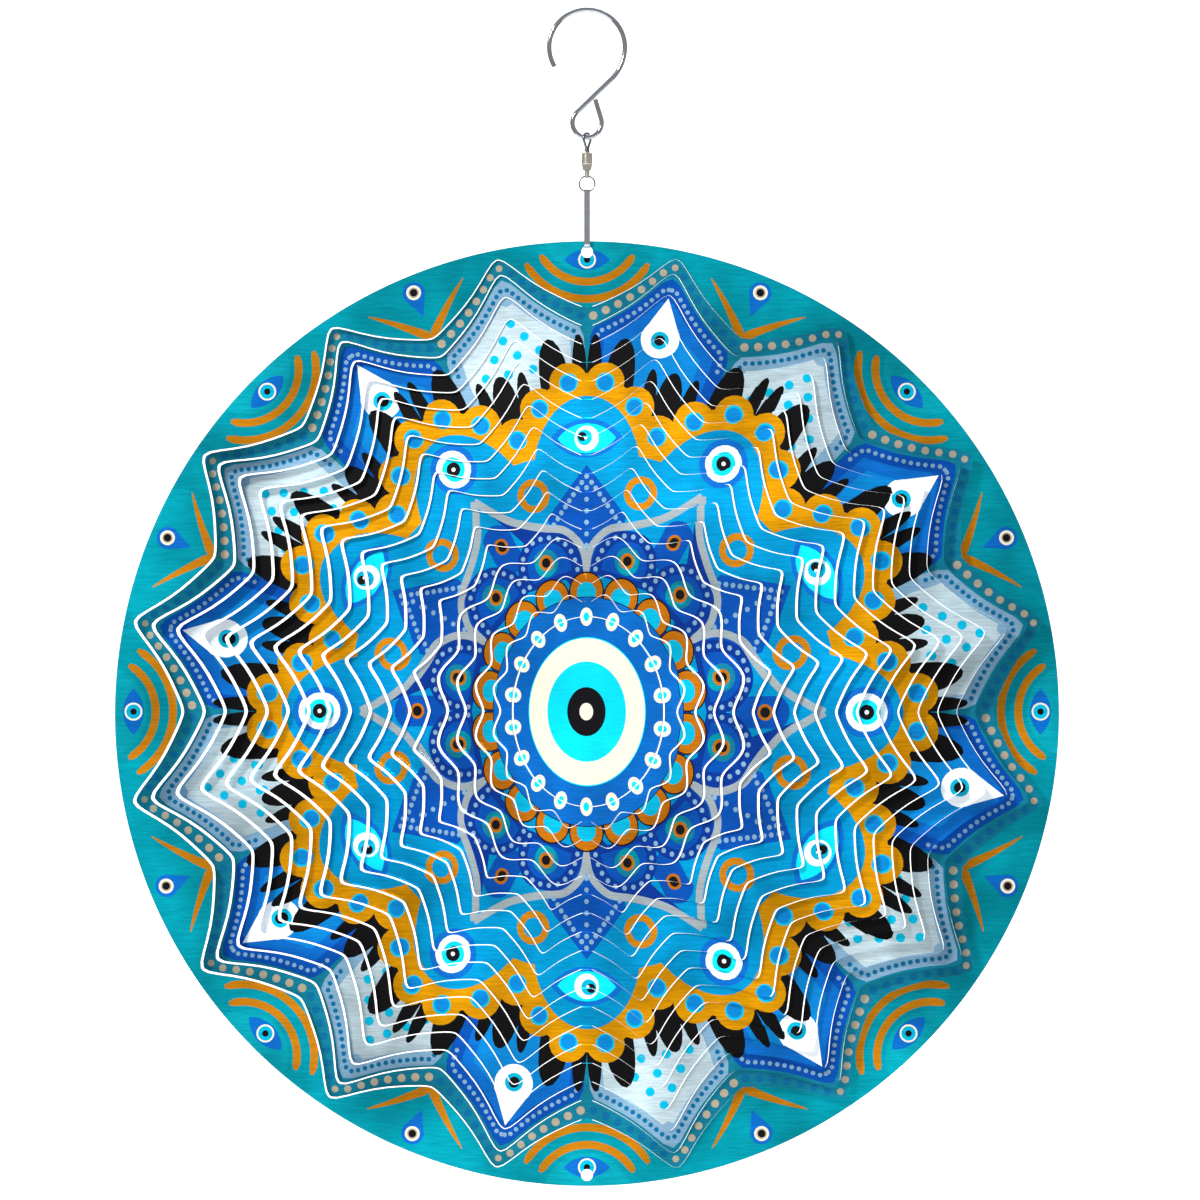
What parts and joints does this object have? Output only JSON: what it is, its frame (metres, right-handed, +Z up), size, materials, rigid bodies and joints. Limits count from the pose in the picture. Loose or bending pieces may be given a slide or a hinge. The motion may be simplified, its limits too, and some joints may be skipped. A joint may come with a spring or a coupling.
{
  "type": "hanging wind spinner",
  "caption": "Round printed-steel wind spinner of nested star rings fanned out about a vertical axis, with an evil-eye print, hung by a clip, small ring, ball-bearing swivel and wire hook.",
  "frame": {"origin": "the point inside the hook's open arc that rests on whatever it hangs from", "axes": "+Z up, the axis that the disc fans and spins about; +X to the right of a viewer facing the print; +Y away from that viewer, square to the rim"},
  "size_m": [0.3048, 0.0622, 0.3811],
  "materials": {
    "wire_bright": "bright zinc-plated steel wire",
    "swivel_eye_wire": "plain drawn steel wire",
    "swivel_case": "nickel-plated, lightly worn",
    "swivel_cap_brass": "pale plated brass",
    "bearing_steel": "polished bearing balls",
    "clip_steel": "bright spring steel strip",
    "print_teal": "translucent inks printed on brushed stainless steel, bare cut edges",
    "print_dark_teal": "translucent inks printed on brushed stainless steel, bare cut edges",
    "print_blue": "translucent inks printed on brushed stainless steel, bare cut edges",
    "print_black": "translucent inks printed on brushed stainless steel, bare cut edges",
    "print_gold": "translucent inks printed on brushed stainless steel, bare cut edges",
    "print_light_blue": "translucent inks printed on brushed stainless steel, bare cut edges",
    "print_deep_blue": "translucent inks printed on brushed stainless steel, bare cut edges",
    "print_orange": "translucent inks printed on brushed stainless steel, bare cut edges",
    "print_mid_blue": "translucent inks printed on brushed stainless steel, bare cut edges",
    "print_cream": "translucent inks printed on brushed stainless steel, bare cut edges"
  },
  "bodies": {
    "hook": {"hook": "wire_bright"},
    "swivel": {"swivel_eye": "swivel_eye_wire", "swivel_cap": "swivel_cap_brass", "swivel_barrel": "swivel_case", "swivel_balls": "bearing_steel"},
    "shaft": {"swivel_shaft": "swivel_case"},
    "link": {"link_ring": "wire_bright"},
    "clip": {"snap_clip": "clip_steel"},
    "rim": {"rim_plate": "print_teal"},
    "ring_01": {"ring_01": "print_dark_teal"},
    "ring_02": {"ring_02": "print_blue"},
    "ring_03": {"ring_03": "print_blue"},
    "ring_04": {"ring_04": "print_blue"},
    "ring_05": {"ring_05": "print_black"},
    "ring_06": {"ring_06": "print_black"},
    "ring_07": {"ring_07": "print_gold"},
    "ring_08": {"ring_08": "print_gold"},
    "ring_09": {"ring_09": "print_light_blue"},
    "ring_10": {"ring_10": "print_light_blue"},
    "ring_11": {"ring_11": "print_light_blue"},
    "ring_12": {"ring_12": "print_deep_blue"},
    "ring_13": {"ring_13": "print_deep_blue"},
    "ring_14": {"ring_14": "print_deep_blue"},
    "ring_15": {"ring_15": "print_orange"},
    "ring_16": {"ring_16": "print_orange"},
    "ring_17": {"ring_17": "print_mid_blue"},
    "centre": {"centre_disc": "print_cream"}
  },
  "joints": [
    {"name": "eye_swing", "type": "hinge", "parent": "hook", "child": "swivel", "pos_m": [0, 0, -0.04097], "axis": [1, 0, 0], "range_deg": [-50, 50]},
    {"name": "swivel_spin", "type": "hinge", "parent": "swivel", "child": "shaft", "pos_m": [0, 0, -0.05359], "axis": [0, 0, 1], "continuous": true},
    {"name": "link_swing", "type": "hinge", "parent": "shaft", "child": "link", "pos_m": [0, 0, -0.05359], "axis": [1, 0, 0], "range_deg": [-60, 60]},
    {"name": "clip_swing", "type": "hinge", "parent": "link", "child": "clip", "pos_m": [0, 0, -0.05614], "axis": [0, 1, 0], "range_deg": [-50, 50]},
    {"name": "disc_tilt", "type": "hinge", "parent": "clip", "child": "rim", "pos_m": [0, 0, -0.07529], "axis": [1, 0, 0], "range_deg": [-35, 35]},
    {"name": "ring_01_turn", "type": "hinge", "parent": "rim", "child": "ring_01", "pos_m": [0, 0, -0.22725], "axis": [0, 0, 1], "range_deg": [-22.9, 27.1]},
    {"name": "ring_02_turn", "type": "hinge", "parent": "ring_01", "child": "ring_02", "pos_m": [0, 0, -0.22725], "axis": [0, 0, 1], "range_deg": [-22.9, 27.1]},
    {"name": "ring_03_turn", "type": "hinge", "parent": "ring_02", "child": "ring_03", "pos_m": [0, 0, -0.22725], "axis": [0, 0, 1], "range_deg": [-22.9, 27.1]},
    {"name": "ring_04_turn", "type": "hinge", "parent": "ring_03", "child": "ring_04", "pos_m": [0, 0, -0.22725], "axis": [0, 0, 1], "range_deg": [-22.9, 27.1]},
    {"name": "ring_05_turn", "type": "hinge", "parent": "ring_04", "child": "ring_05", "pos_m": [0, 0, -0.22725], "axis": [0, 0, 1], "range_deg": [-22.9, 27.1]},
    {"name": "ring_06_turn", "type": "hinge", "parent": "ring_05", "child": "ring_06", "pos_m": [0, 0, -0.22725], "axis": [0, 0, 1], "range_deg": [-22.9, 27.1]},
    {"name": "ring_07_turn", "type": "hinge", "parent": "ring_06", "child": "ring_07", "pos_m": [0, 0, -0.22725], "axis": [0, 0, 1], "range_deg": [-22.9, 27.1]},
    {"name": "ring_08_turn", "type": "hinge", "parent": "ring_07", "child": "ring_08", "pos_m": [0, 0, -0.22725], "axis": [0, 0, 1], "range_deg": [-22.9, 27.1]},
    {"name": "ring_09_turn", "type": "hinge", "parent": "ring_08", "child": "ring_09", "pos_m": [0, 0, -0.22725], "axis": [0, 0, 1], "range_deg": [-22.9, 27.1]},
    {"name": "ring_10_turn", "type": "hinge", "parent": "ring_09", "child": "ring_10", "pos_m": [0, 0, -0.22725], "axis": [0, 0, 1], "range_deg": [-22.9, 27.1]},
    {"name": "ring_11_turn", "type": "hinge", "parent": "ring_10", "child": "ring_11", "pos_m": [0, 0, -0.22725], "axis": [0, 0, 1], "range_deg": [-22.9, 27.1]},
    {"name": "ring_12_turn", "type": "hinge", "parent": "ring_11", "child": "ring_12", "pos_m": [0, 0, -0.22725], "axis": [0, 0, 1], "range_deg": [-22.9, 27.1]},
    {"name": "ring_13_turn", "type": "hinge", "parent": "ring_12", "child": "ring_13", "pos_m": [0, 0, -0.22725], "axis": [0, 0, 1], "range_deg": [-22.9, 27.1]},
    {"name": "ring_14_turn", "type": "hinge", "parent": "ring_13", "child": "ring_14", "pos_m": [0, 0, -0.22725], "axis": [0, 0, 1], "range_deg": [-22.9, 27.1]},
    {"name": "ring_15_turn", "type": "hinge", "parent": "ring_14", "child": "ring_15", "pos_m": [0, 0, -0.22725], "axis": [0, 0, 1], "range_deg": [-22.9, 27.1]},
    {"name": "ring_16_turn", "type": "hinge", "parent": "ring_15", "child": "ring_16", "pos_m": [0, 0, -0.22725], "axis": [0, 0, 1], "range_deg": [-22.9, 27.1]},
    {"name": "ring_17_turn", "type": "hinge", "parent": "ring_16", "child": "ring_17", "pos_m": [0, 0, -0.22725], "axis": [0, 0, 1], "range_deg": [-22.9, 27.1]},
    {"name": "centre_turn", "type": "hinge", "parent": "ring_17", "child": "centre", "pos_m": [0, 0, -0.22725], "axis": [0, 0, 1], "range_deg": [-22.9, 27.1]}
  ]
}
